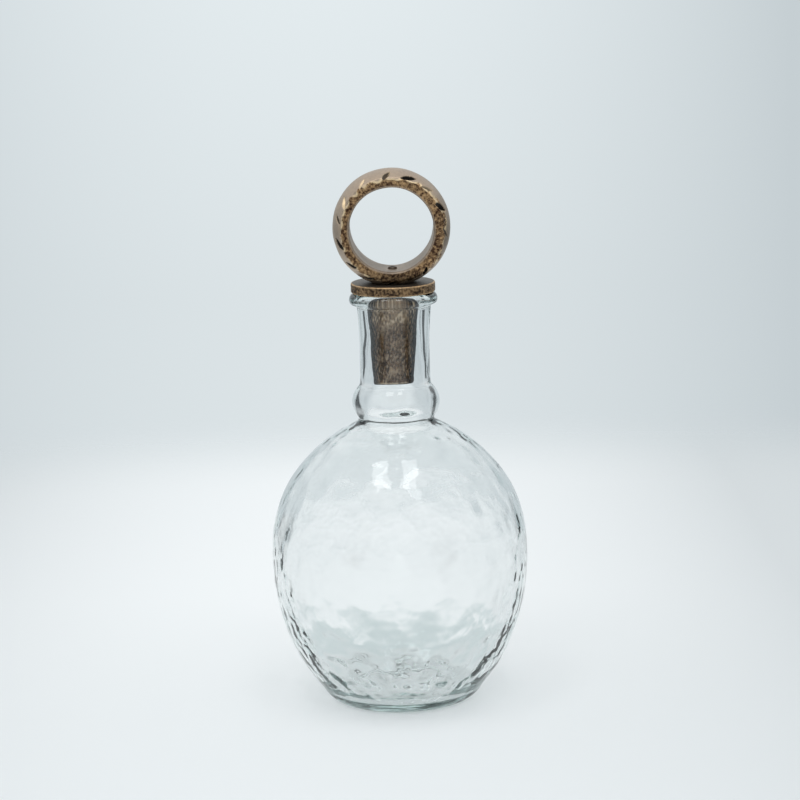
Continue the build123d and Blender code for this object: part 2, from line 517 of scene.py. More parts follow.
@dataclass(frozen=True)
class AntiqueBronze:
    """Cast metal with an antique bronze finish, darkened all over and then rubbed back."""

    name: str
    low_colour: str
    high_colour: str
    rub_and_glint_colour: str
    satin_colour: str
    patina_and_shade_colour: str = "#15100b"
    mottle_size: float = 1.3 * MM
    mottle_detail: float = 5.0
    mottle_roughness: float = 0.68
    mottle_level: float = 0.67
    mottle_sharpness: float = 0.34
    cloud_size: float = 9.0 * MM
    cloud_share: float = 0.3
    stretch: tuple = (1.0, 1.0, 1.0)
    metallic: float = 0.85
    roughness: float = 0.42
    pit_roughness: float = 0.12
    peak_roughness: float = -0.08
    grain_height: float = 0.05 * MM
    edge_facing: tuple = (0.15, 0.5)
    edge_shade: float = 0.0
    edge_tint: str = "#ffffff"

    def make(self) -> Material:
        """Build the material."""
        # The eye sees dark patina in the grain and cuts, and bright metal where hands reach.
        # The dark and rubbed marks also carry painted shade and painted glints.
        # The casting's own grit, 0.3 mm and finer, is drawn at 1.2 to 1.6 mm, to show at all.
        material, tree = new_material(self.name)
        place = add(tree, "TexCoord").outputs["Object"]
        place = add(tree, "Mapping", {"Vector": place, "Scale": self.stretch})
        grit = {
            "Vector": place,
            "Scale": 1 / self.mottle_size,
            "Detail": self.mottle_detail,
            "Roughness": self.mottle_roughness,
        }
        mottle = add(tree, "TexNoise", grit)
        cloud = {"Vector": place, "Scale": 1 / self.cloud_size, "Detail": 2.0}
        uneven = {0: add(tree, "TexNoise", cloud), 1: self.cloud_share, 2: mottle}
        half = self.mottle_sharpness / 2
        spread = {
            "Value": add(tree, "Math", uneven, operation="MULTIPLY_ADD"),
            1: self.mottle_level - half,
            2: self.mottle_level + half,
        }
        patina = {
            0: add(tree, "MapRange", spread, interpolation_type="SMOOTHSTEP"),
            6: linear(self.low_colour),
            7: linear(self.high_colour),
        }
        marks = {
            mark: add(tree, "Attribute", attribute_name=mark.value).outputs["Fac"] for mark in Mark
        }
        skin = {
            0: marks[Mark.RELIEF],
            6: linear(self.satin_colour),
            7: add(tree, "Mix", patina, data_type="RGBA"),
        }
        colour = add(tree, "Mix", skin, data_type="RGBA")
        # Painted shade: where the skin turns away from the view, it is darkened towards the dark
        # colour
        facing = add(tree, "LayerWeight", {"Blend": 0.5}).outputs["Facing"]
        turned = {"Value": facing, 1: self.edge_facing[0], 2: self.edge_facing[1]}
        for share, coat in (
            (marks[Mark.RUB_AND_GLINT], self.rub_and_glint_colour),
            (marks[Mark.CUT], self.patina_and_shade_colour),
            (add(tree, "MapRange", turned | {4: self.edge_shade}), self.patina_and_shade_colour),
        ):
            colour = add(tree, "Mix", {0: share, 6: colour, 7: linear(coat)}, data_type="RGBA")
        gloss = {
            "Value": mottle,
            3: self.roughness + self.pit_roughness,
            4: self.roughness + self.peak_roughness,
        }
        surface = {
            "Base Color": colour,
            "Specular Tint": linear(self.edge_tint),
            "Metallic": self.metallic,
            "Roughness": add(tree, "MapRange", gloss),
            "Normal": add(tree, "Bump", {"Height": mottle, "Distance": self.grain_height}),
        }
        add(tree, "OutputMaterial", {"Surface": add(tree, "BsdfPrincipled", surface)})
        return material


@dataclass(frozen=True)
class BronzedSteel:
    """Blackened steel with the ring's bronze rubbed over its head."""

    name: str = "steel_blackened_bronze_rubbed"
    head_colour: str = "#6f645a"
    dark_colour: str = "#15110d"
    metallic: float = 0.9
    roughness: float = 0.45
    roughness_spread: float = 0.1
    socket_radius: float = 1.45 * MM
    socket_blur: float = 0.2 * MM
    bloom_size: float = 1.5 * MM

    def make(self) -> Material:
        """Build the material."""
        # The eye sees a head like the ring round it, with a socket that stays black
        material, tree = new_material(self.name)
        place = add(tree, "TexCoord").outputs["Object"]
        bloom = {"Vector": place, "Scale": 1 / self.bloom_size, "Detail": 3.0}
        gloss = {
            "Value": add(tree, "TexNoise", bloom),
            3: self.roughness - self.roughness_spread,
            4: self.roughness + self.roughness_spread,
        }
        flat = add(tree, "VectorMath", {0: place, 1: (1.0, 1.0, 0.0)}, operation="MULTIPLY")
        on_head = {
            "Value": add(tree, "VectorMath", {0: flat}, operation="LENGTH"),
            1: self.socket_radius - self.socket_blur,
            2: self.socket_radius + self.socket_blur,
        }
        colours = {
            0: add(tree, "MapRange", on_head),
            6: linear(self.dark_colour),
            7: linear(self.head_colour),
        }
        surface = {
            "Base Color": add(tree, "Mix", colours, data_type="RGBA"),
            "Metallic": self.metallic,
            "Roughness": add(tree, "MapRange", gloss),
        }
        add(tree, "OutputMaterial", {"Surface": add(tree, "BsdfPrincipled", surface)})
        return material


# Pieces


@dataclass
class GlassBottle:
    """The blown bottle: foot, belly, shoulder, waist, bulge, neck and lip in one glass."""

    body_radius: float = 70.0 * MM
    body_wall: float = 4.0 * MM
    girth_height: float = 80.0 * MM
    shoulder_height: float = 74.1 * MM
    shoulder_wall: float = 3.2 * MM
    shoulder_rise_power: float = 2.35
    shoulder_girth_power: float = 1.48
    base_thickness: float = 7.5 * MM
    floor_radius: float = 37.0 * MM
    foot_radius: float = 34.0 * MM
    heel_radius: float = 44.5 * MM
    heel_height: float = 7.0 * MM
    heel_swell: float = 1.9 * MM
    hollow_radius: float = 28.0 * MM
    hollow_depth: float = 1.2 * MM
    waist_bore: float = 17.4 * MM
    waist_wall: float = 3.2 * MM
    waist_height: float = 2.6 * MM
    bulge_bore: float = 20.9 * MM
    bulge_wall: float = 3.0 * MM
    bulge_height: float = 17.5 * MM
    neck_length: float = 43.9 * MM
    mouth_bore: float = 14.4 * MM
    bore_flare: float = 0.9 * MM
    neck_low_wall: float = 4.1 * MM
    neck_mid_wall: float = 4.3 * MM
    neck_top_wall: float = 5.8 * MM
    lip_height: float = 6.4 * MM
    lip_overhang: float = 3.6 * MM
    lip_round: float = 3.4 * MM
    lip_under_round: float = 1.8 * MM
    mouth_round: float = 1.5 * MM
    segments: int = 360
    outside_step: float = 1.15 * MM
    inside_step: float = 1.8 * MM
    detail_step: float = 0.7 * MM
    sample_step: float = 0.25 * MM
    polish: float = 0.7 * MM
    outside_softness: float = 1.1 * MM
    inside_softness: float = 3.6 * MM
    # Where rows lie closer or wider and where corners melt: pairs are heights over the waist's foot
    fine_from: tuple = (-14 * MM, -4 * MM)
    plain_neck: tuple = ((24 * MM, 30 * MM), (58 * MM, 62 * MM))
    plain_share: float = 0.6
    heel_blend: float = 6 * MM
    hollow_blend: float = 4 * MM
    melted: tuple = ((-12 * MM, -4 * MM), (26 * MM, 34 * MM))
    # The beaten outside: beaten_to is over the waist's foot, and the other heights over the table
    dents: HammerMarks = HammerMarks(6.2 * MM, 0.22 * MM, 4.8 * MM, seed=11)
    dent_loss: float = 0.55
    dent_fade: tuple = (70 * MM, 125 * MM)
    beaten_from: tuple = (7 * MM, 12 * MM)
    beaten_to: tuple = (-26 * MM, -4 * MM)
    # The slow waves of the body and of the drawn neck, and how much the depth of each one sways
    slow: Ripple = Ripple(34 * MM, 22)
    body_wave: float = 0.12 * MM
    body_sway: float = 0.5
    drawn: Ripple = Ripple(14 * MM, 21, stretch=(1, 1, 1.6))
    drawn_from: tuple = (-6 * MM, 4 * MM)
    neck_wave: float = 0.22 * MM
    neck_sway: float = 0.6
    # The inside: soft all over, crisp low down, swirled in the throat, calm in neck and heel.
    # Throat and neck_from are heights over the waist's foot, and heel_from is a radius.
    soft: Ripple = Ripple(15 * MM, 31)
    soft_wave: float = 0.1 * MM
    low_wave: float = 0.12 * MM
    slow_wave: float = 0.2 * MM
    low_fade: tuple = (20 * MM, 75 * MM)
    crisp: tuple = ((0.7, Ripple(5.0 * MM, 32)), (1.6, Ripple(12.0 * MM, 33)))
    crisp_wave: float = 0.08 * MM
    swirl: Ripple = Ripple(4.0 * MM, 34, stretch=(2.5, 2.5, 1))
    swirl_wave: float = 0.07 * MM
    throat: tuple = ((-26 * MM, -12 * MM), (-2 * MM, 4 * MM))
    neck_calm: float = 0.4
    neck_from: tuple = (0, 12 * MM)
    heel_calm: float = 0.75
    heel_from: tuple = (25 * MM, 35 * MM)
    heel_fade: tuple = (12 * MM, 20 * MM)
    # The fire-polished lip is even again, from this height over the waist's foot
    lip_from: tuple = (60 * MM, 68 * MM)

    @property
    def root(self) -> float:
        """Height of the waist's foot, where the shoulder ends."""
        return self.girth_height + self.shoulder_height

    @property
    def lip_radius(self) -> float:
        """Outer radius of the lip."""
        return self.mouth_bore + self.neck_top_wall + self.lip_overhang

    @property
    def lip_middle(self) -> float:
        """Radius where outside and inside meet on the lip's top."""
        return (self.lip_radius - self.lip_round + self.mouth_bore) / 2

    def stations(self) -> tuple:
        """Give the heights of the waist's foot and the tops of waist, bulge, neck and lip."""
        parts = (self.waist_height, self.bulge_height, self.neck_length, self.lip_height)
        return tuple(accumulate((self.root, *parts)))

    def shoulder(self, radius: float) -> Oval:
        """Give the shoulder's oval for the outer or the inner radius of the body."""
        powers = (self.shoulder_rise_power, self.shoulder_girth_power)
        return Oval(radius, self.girth_height, *powers)

    def outside(self) -> np.ndarray:
        """Draw the outside, from the middle of the foot's hollow to the middle of the lip's top."""
        root, waist_top, bulge_top, neck_top, lip_top = self.stations()
        waist_radius = self.waist_bore + self.waist_wall
        bulge_radius = self.bulge_bore + self.bulge_wall
        neck_low = self.mouth_bore + self.bore_flare + self.neck_low_wall
        neck_mid = self.mouth_bore + self.bore_flare / 2 + self.neck_mid_wall
        neck_high = self.mouth_bore + self.neck_top_wall
        heel_top = (self.heel_radius, self.heel_height)
        outline = Outline((0, self.hollow_depth))
        # Halfway out, so shallow a dome has lost a quarter of its depth
        outline.arc((self.hollow_radius / 2, self.hollow_depth * 0.75), (self.hollow_radius, 0))
        outline.line((self.foot_radius, 0))
        outline.swell(heel_top, self.heel_swell)
        outline.follow(Oval(self.body_radius, self.girth_height).side(heel_top)[::-1])
        outline.follow(self.shoulder(self.body_radius).side((waist_radius, root)))
        outline.line((waist_radius, waist_top))
        outline.arc((bulge_radius, (waist_top + bulge_top) / 2), (neck_low, bulge_top))
        outline.arc((neck_mid, (bulge_top + neck_top) / 2), (neck_high, neck_top), 60)
        outline.line((self.lip_radius - self.lip_under_round, neck_top))
        under_end = (self.lip_radius, neck_top + self.lip_under_round)
        outline.corner((self.lip_radius, neck_top), under_end)
        outline.line((self.lip_radius, lip_top - self.lip_round))
        outline.corner((self.lip_radius, lip_top), (self.lip_radius - self.lip_round, lip_top))
        outline.line((self.lip_middle, lip_top))
        return outline.points

    def inside(self) -> np.ndarray:
        """Draw the inside, from the middle of the lip's top down to the middle of the floor."""
        root, waist_top, bulge_top, _, lip_top = self.stations()
        inner_root = (self.waist_bore, root - self.shoulder_wall)
        inner_radius = self.body_radius - self.body_wall
        floor_edge = (self.floor_radius, self.base_thickness)
        outline = Outline((self.lip_middle, lip_top))
        outline.line((self.mouth_bore + self.mouth_round, lip_top))
        outline.corner((self.mouth_bore, lip_top), (self.mouth_bore, lip_top - self.mouth_round))
        outline.line((self.mouth_bore + self.bore_flare, bulge_top), 60)
        outline.arc((self.bulge_bore, (waist_top + bulge_top) / 2), (self.waist_bore, waist_top))
        outline.line(inner_root)
        outline.follow(self.shoulder(inner_radius).side(inner_root)[::-1])
        outline.follow(Oval(inner_radius, self.girth_height).side(floor_edge))
        outline.line((0, self.base_thickness), 40)
        return outline.points

    def steps(self, profile: np.ndarray, broad: float) -> np.ndarray:
        """Choose how far apart rows lie along a profile.

        Args:
            profile: points, evenly spaced.
            broad: spacing on the belly and shoulder.

        Returns:
            The spacing at each point.
        """
        radii, heights = profile.T
        above = heights - self.root
        foot = 1 - ramp(heights, self.heel_height, self.heel_height + self.heel_blend)
        foot *= ramp(radii, self.hollow_radius - self.hollow_blend, self.hollow_radius)
        fine = ramp(above, *self.fine_from) + foot
        fine -= self.plain_share * band(above, *self.plain_neck)
        return broad + (self.detail_step - broad) * np.clip(fine, 0, 1)

    def build(self) -> Object:
        """Model the glass with its hammered outside and its softly uneven inside."""
        skins = []
        for curve, broad, softness in (
            (self.outside(), self.outside_step, self.outside_softness),
            (self.inside(), self.inside_step, self.inside_softness),
        ):
            even = smoothed(curve, self.sample_step, self.polish)
            soft = smoothed(curve, self.sample_step, softness)
            even += (soft - even) * band(even[:, 1] - self.root, *self.melted)[:, None]
            skins.append(resampled(even, self.steps(even, broad)))
        outer, inner = skins
        grid, normals = turned_grid(np.vstack([outer, inner[1:]]), self.segments)
        points = grid.reshape(-1, 3)
        outer_points = len(outer) * self.segments
        pressed = [self.beaten(points[:outer_points], outer), self.rippled(points[outer_points:])]
        pressed = np.concatenate(pressed) * (1 - ramp(points[:, 2] - self.root, *self.lip_from))
        grid = grid - normals * pressed.reshape(grid.shape[:2])[:, :, None]
        grid[:, :, 2] = np.maximum(grid[:, :, 2], 0)
        return grid_object("glass_bottle", grid, closed_rows=False)

    def beaten(self, points: np.ndarray, skin: np.ndarray) -> np.ndarray:
        """Work out how far the outside lies below its plain skin.

        Args:
            points: its points, one a row.
            skin: its profile.

        Returns:
            A depth for each point.
        """
        heights, above = points[:, 2], points[:, 2] - self.root
        on_body = ramp(heights, *self.beaten_from) * (1 - ramp(above, *self.beaten_to))
        body = skin[(skin[:, 1] > self.heel_height) & (skin[:, 1] < self.root)]
        depth = np.zeros(len(points))
        depth[on_body > 0] = self.dents.at(points[on_body > 0], body)
        depth *= on_body * (1 - self.dent_loss * ramp(heights, *self.dent_fade))
        depth += on_body * self.body_wave * (1 + self.body_sway * self.slow.at(points))
        on_neck = ramp(above, *self.drawn_from)
        return depth + on_neck * self.neck_wave * (1 + self.neck_sway * self.drawn.at(points))

    def rippled(self, points: np.ndarray) -> np.ndarray:
        """Work out how far the inside lies below its plain skin.

        Args:
            points: its points, one a row.

        Returns:
            A depth for each point.
        """
        heights, above = points[:, 2], points[:, 2] - self.root
        low = 1 - ramp(heights, *self.low_fade)
        crisp = sum(share * ripple.at(points) for share, ripple in self.crisp)
        depth = (self.soft_wave + self.low_wave * low) * self.soft.at(points)
        depth += low * (self.slow_wave * self.slow.at(points) + self.crisp_wave * crisp)
        depth += self.swirl_wave * band(above, *self.throat) * self.swirl.at(points)
        depth *= 1 - self.neck_calm * ramp(above, *self.neck_from)
        near_heel = ramp(np.hypot(points[:, 0], points[:, 1]), *self.heel_from)
        near_heel *= 1 - ramp(heights, *self.heel_fade)
        return depth * (1 - self.heel_calm * near_heel)

    def dress(self, piece: Object) -> None:
        """Give the glass its finish and let it stand for both glass solids."""
        dress(piece, SodaGlass().make(), Body.BOTTLE)
        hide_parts("glass_body", "glass_neck")


@dataclass(frozen=True)
class Notch:
    """One chisel cut: its angle from the top, scale of depth, slant and share of patina and painted
    shade.
    """

    degrees: float
    size: float
    skew: float
    patina: float


@dataclass
class PullRing:
    """The upright ring: a smooth dome outside, chisel notches across its rims, pitted faces."""

    bore: float = 22.4 * MM
    wall: float = 9.2 * MM
    width: float = 30.0 * MM
    flat_depth: float = 2.0 * MM
    seat_height: float = 230.0 * MM
    crown: float = 3.8 * MM
    rim_round: float = 0.7 * MM
    rim_middle: tuple = (0.25, 0.18)
    bore_round: float = 1.5 * MM
    notch_depth: float = 1.9 * MM
    notch_reach: float = 6.0 * MM
    notch_inset: float = 3.0 * MM
    notch_lean: float = math.radians(25)
    dark_wall: tuple = (-0.3 * MM, 0.1 * MM)
    dark_cut: tuple = (0.1 * MM, 0.4 * MM)
    bare_cut: tuple = (0.05 * MM, 0.3 * MM)
    spot_radius: float = 2.6 * MM
    spot_depth: float = 0.35 * MM
    notches: tuple = (
        Notch(-4, 1.0, 26, 0.85),
        Notch(20, 1.3, 60, 1),
        Notch(43, 0.7, 56, 0.6),
        Notch(67, 1.3, 42, 1),
        Notch(95, 0.7, 38, 0.9),
        Notch(121, 0.5, 38, 0.5),
        Notch(143, 1.0, 34, 1),
        Notch(181, 0.8, 38, 1),
        Notch(206, 0.9, 38, 1),
        Notch(230, 1.0, 40, 1),
        Notch(256, 1.2, 44, 1),
        Notch(282, 0.7, 30, 0.9),
        Notch(301, 0.9, 36, 0.1),
        Notch(329, 0.6, 38, 0.2),
    )
    segments: int = 640
    profile_step: float = 0.5 * MM
    # The pitted border: its width, and how that grows to the left, upward, slowly and quickly
    border_width: float = 3.4 * MM
    border_growth: tuple = (1.2 * MM, 0.9 * MM, 0.25 * MM, 0.42 * MM)
    border_blur: float = 0.2 * MM
    wander: Ripple = Ripple(16 * MM, 44)
    scallops: Ripple = Ripple(5 * MM, 45)
    bore_edge: tuple = (0.5 * MM, 1.3 * MM)
    face_tilt: tuple = (0.75, 0.97)
    face_slope: float = 0.55
    # Pits in the faces, and how far the dome is filed back
    coarse_pits: Ripple = Ripple(2.6 * MM, 41)
    fine_pits: Ripple = Ripple(1.1 * MM, 42)
    fine_share: float = 0.8
    pit_levels: tuple = (0.0, 1.8)
    pit_floor: float = 0.05 * MM
    pit_depth: float = 0.4 * MM
    filing: Ripple = Ripple(14 * MM, 43)
    filed_depth: float = 0.08 * MM
    filed_sway: float = 0.45
    # Wear along the border, patina in the bore, tarnish with painted light and shade on the dome,
    # and painted shade low on the faces: a base share and how it changes with the place
    worn_width: float = 0.4 * MM
    worn_levels: tuple = (-1.0, 1.2)
    worn_fine: float = 0.5
    bare_rub: float = 0.75
    bore_patina: tuple = (0.1, 0.38)
    dome_tarnish_and_shade: tuple = (0.12, -0.2, -0.2)
    patina_sway: float = 0.06
    low_shade_share: float = 0.6
    under_levels: tuple = (0.6, 0.9)
    dome_relief: float = 0.16

    @property
    def radius(self) -> float:
        """The ring's outer radius."""
        return self.bore + self.wall

    @property
    def centre(self) -> np.ndarray:
        """The middle of the ring."""
        return np.array([0, 0, self.seat_height + self.radius - self.flat_depth])

    def section(self) -> np.ndarray:
        """Draw the ring's section, (radius, place along the axis), clockwise from the bore."""
        half = self.width / 2
        rim = self.radius - self.crown
        dome_radius = (half**2 + self.crown**2) / (2 * self.crown)
        side = half - self.rim_round
        shoulder = self.radius - dome_radius + math.sqrt(dome_radius**2 - side**2)
        back, down = (share * self.rim_round for share in self.rim_middle)
        outline = Outline((self.bore, 0))
        outline.line((self.bore, half - self.bore_round))
        outline.corner((self.bore, half), (self.bore + self.bore_round, half))
        outline.line((rim - self.rim_round, half))
        outline.arc((rim - back, half - down), (shoulder, side))
        places = np.linspace(side, 0, 40)
        radii = self.radius - dome_radius + np.sqrt(dome_radius**2 - places**2)
        outline.follow(np.column_stack([radii, places]))
        whole = np.vstack([outline.points, outline.points[::-1] * np.array([1, -1])])
        return resampled(whole, np.full(len(whole), self.profile_step))[:0:-1]

    def grid(self, section: np.ndarray) -> np.ndarray:
        """Turn the section about the ring's axis, clockwise from the top as seen from the front."""
        turns = np.arange(self.segments) * 2 * math.pi / self.segments
        across = section[:, :1] * np.sin(turns)
        upward = section[:, :1] * np.cos(turns)
        along = np.repeat(section[:, 1:], self.segments, axis=1)
        return np.stack([across, along, upward], axis=2) + self.centre

    def notched(self, points: np.ndarray) -> tuple[np.ndarray, np.ndarray, np.ndarray]:
        """Cut the V-shaped chisel notches from both rims onto the dome.

        Args:
            points: the ring's points, one a row.

        Returns:
            The points after cutting, how much patina and painted shade lies in each cut, and how
            bare its far wall is.
        """
        points = points.copy()
        patina, bare = np.zeros((2, len(points)))
        half_pitch = 180 / len(self.notches)
        upright, tilted = math.cos(self.notch_lean), math.sin(self.notch_lean)
        for notch, side in product(self.notches, (-1, 1)):
            # The front rim is at -1, and the back one has its notches between the front's
            turn = math.radians(notch.degrees if side < 0 else half_pitch - notch.degrees)
            skew = math.radians(notch.skew)
            outward = np.array([math.sin(turn), 0, math.cos(turn)])
            along = np.array([math.cos(turn), 0, -math.sin(turn)])
            forward = np.array([0, side, 0])
            normal = outward * upright + forward * tilted
            across = outward * tilted - forward * upright
            rim = self.centre + outward * (self.radius - self.crown) + forward * self.width / 2
            direction = across * math.cos(skew) + along * math.sin(skew)
            offset = points - rim - across * self.notch_inset
            # The floor of the cut rises out of the metal well within three reaches
            near = np.linalg.norm(offset, axis=1) < 3 * self.notch_reach
            offset = offset[near]
            lateral = offset @ np.cross(normal, direction) * -side
            shallow = np.minimum(2, (offset @ direction / self.notch_reach) ** 2)
            floor = np.abs(lateral) - self.notch_depth * notch.size * (1 - shallow)
            cut = np.maximum(0, offset @ normal - floor)
            points[near] -= cut[:, None] * normal
            # Patina in the cut, and painted shade on the wall that faces down, away from the light
            shade = ramp(cut, *self.dark_cut) * ramp(lateral, *self.dark_wall) * notch.patina
            patina[near] = np.maximum(patina[near], shade)
            bare[near] = np.maximum(bare[near], ramp(cut, *self.bare_cut) - shade)
        return points, patina, bare

    def build(self) -> Object:
        """Model the ring with its pitted faces, hand-filed dome and notches."""
        grid = self.grid(self.section())
        points = grid.reshape(-1, 3)
        outward = grid_normals(grid, closed_rows=True).reshape(-1, 3)
        reach = np.hypot(points[:, 0], points[:, 2] - self.centre[2])
        leftward = -points[:, 0] / self.radius
        upward = (points[:, 2] - self.centre[2]) / self.radius
        wander, scallops = self.wander.at(points), self.scallops.at(points)
        fine = self.fine_pits.at(points)
        # The dome is filed back by hand further in some places than in others
        growth = zip(self.border_growth, (leftward, upward, wander, scallops))
        border = self.radius - self.border_width - sum(share * field for share, field in growth)
        off_bore = ramp(reach - self.bore, *self.bore_edge)
        satin = ramp(reach - border, -self.border_blur, self.border_blur)
        pitted = off_bore * (1 - satin)
        pits = ramp(self.coarse_pits.at(points) + self.fine_share * fine, *self.pit_levels)
        on_face = ramp(np.abs(outward[:, 1]), *self.face_tilt)
        filed = self.filed_depth * (1 + self.filed_sway * self.filing.at(points))
        pressed = pitted * (self.pit_floor + pits * self.pit_depth) + (1 - on_face) * filed
        pressed += on_face * self.face_slope * np.clip(reach - border, 0, None)
        points, patina, bare = self.notched(points - outward * np.maximum(pressed, 0)[:, None])
        points[:, 2] = np.maximum(points[:, 2], self.seat_height)
        self.sink_spot(points)
        worn = ramp(scallops + upward + self.worn_fine * fine, *self.worn_levels) * (1 - patina)
        worn *= np.exp(-(((reach - border) / self.worn_width) ** 2))
        base, below = self.bore_patina
        in_bore = base + below * np.maximum(0, -upward) + self.patina_sway * wander
        # Tarnish on the dome with painted light and shade: lighter at the top and on the left,
        # darker on the right
        base, left, above = self.dome_tarnish_and_shade
        on_dome = base + left * leftward + above * np.maximum(0, upward) + self.patina_sway * wander
        on_dome = off_bore * satin * np.clip(on_dome, 0, None)
        # Painted shade: the pitted faces are darker towards the bottom of the ring
        under = pitted * self.low_shade_share * ramp(-upward, *self.under_levels)
        dark = [patina, (1 - off_bore) * in_bore, on_dome, under]
        marks = {
            Mark.RUB_AND_GLINT: np.maximum(worn, self.bare_rub * bare),
            Mark.CUT: np.maximum.reduce(dark),
            Mark.RELIEF: np.maximum(pitted, self.dome_relief),
        }
        return grid_object("stopper_ring_cast", points.reshape(grid.shape), True, marks)

    def sink_spot(self, points: np.ndarray) -> None:
        """Sink the bore's floor under the screw's head, in place."""
        floor = self.centre[2] - self.bore
        in_spot = np.hypot(points[:, 0], points[:, 1]) < self.spot_radius
        in_spot &= np.abs(points[:, 2] - floor) < 1 * MM
        points[in_spot, 2] = np.minimum(points[in_spot, 2], floor - self.spot_depth)

    def dress(self, piece: Object) -> None:
        """Give the ring its antique bronze."""
        # Low, high, rubbed and satin
        colours = ("#3b2317", "#c29e74", "#f6dcb2", "#bdaa97")
        finish = AntiqueBronze("cast_metal_antique_bronze_ring", *colours, mottle_size=1.6 * MM)
        dress(piece, finish.make(), Body.STOPPER)
        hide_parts("stopper_ring")


@dataclass
class StopperDisc:
    """The disc that sits on the lip, satin on top and mottled round its edge."""

    radius: float = 22.7 * MM
    bottom: float = 224.7 * MM
    thickness: float = 5.3 * MM
    edge_round: float = 0.8 * MM
    segments: int = 320
    step: float = 0.45 * MM
    broad_steps: float = 4
    fine_from: tuple = (15 * MM, 20 * MM)
    # Dents of the cast edge and wear on its corners: where each one starts and is full
    edge_tilt: tuple = (0.3, 0.8)
    coarse: Ripple = Ripple(3.0 * MM, 51)
    fine: Ripple = Ripple(1.3 * MM, 52)
    fine_share: float = 0.6
    dent_levels: tuple = (0.2, 1.8)
    dent_depth: float = 0.25 * MM
    corner_tilt: tuple = ((0.3, 0.6), (0.9, 1.0))
    corner_rub: float = 0.8
    rub_sway: float = 0.3

    def profile(self) -> np.ndarray:
        """Draw the disc from the middle of its underside to the middle of its top."""
        top = self.bottom + self.thickness
        inset = self.radius - self.edge_round
        outline = Outline((0, self.bottom))
        outline.line((inset, self.bottom))
        outline.corner((self.radius, self.bottom), (self.radius, self.bottom + self.edge_round))
        outline.line((self.radius, top - self.edge_round))
        outline.corner((self.radius, top), (inset, top))
        outline.line((0, top))
        broad = 1 - ramp(outline.points[:, 0], *self.fine_from)
        return resampled(outline.points, self.step * (1 + self.broad_steps * broad))

    def build(self) -> Object:
        """Model the disc with its dented edge."""
        grid, normals = turned_grid(self.profile(), self.segments)
        points, outward = grid.reshape(-1, 3), normals.reshape(-1, 3)
        flatness = np.abs(outward[:, 2])
        on_edge = ramp(1 - flatness, *self.edge_tilt)
        fine = self.fine.at(points)
        dents = ramp(self.coarse.at(points) + self.fine_share * fine, *self.dent_levels)
        points = points - outward * (on_edge * dents * self.dent_depth)[:, None]
        worn = band(flatness, *self.corner_tilt) * (self.corner_rub + self.rub_sway * fine)
        marks = {
            Mark.RUB_AND_GLINT: np.clip(worn, 0, 1),
            Mark.CUT: np.zeros(len(points)),
            Mark.RELIEF: on_edge,
        }
        return grid_object("stopper_disc_cast", points.reshape(grid.shape), False, marks)

    def dress(self, piece: Object) -> None:
        """Give the disc its antique bronze."""
        # Low, high, rubbed and satin
        colours = ("#2d1f17", "#aa8a66", "#e0ba8c", "#685f56")
        finish = AntiqueBronze("cast_metal_antique_bronze_disc", *colours)
        dress(piece, finish.make(), Body.STOPPER)
        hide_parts("stopper_disc")


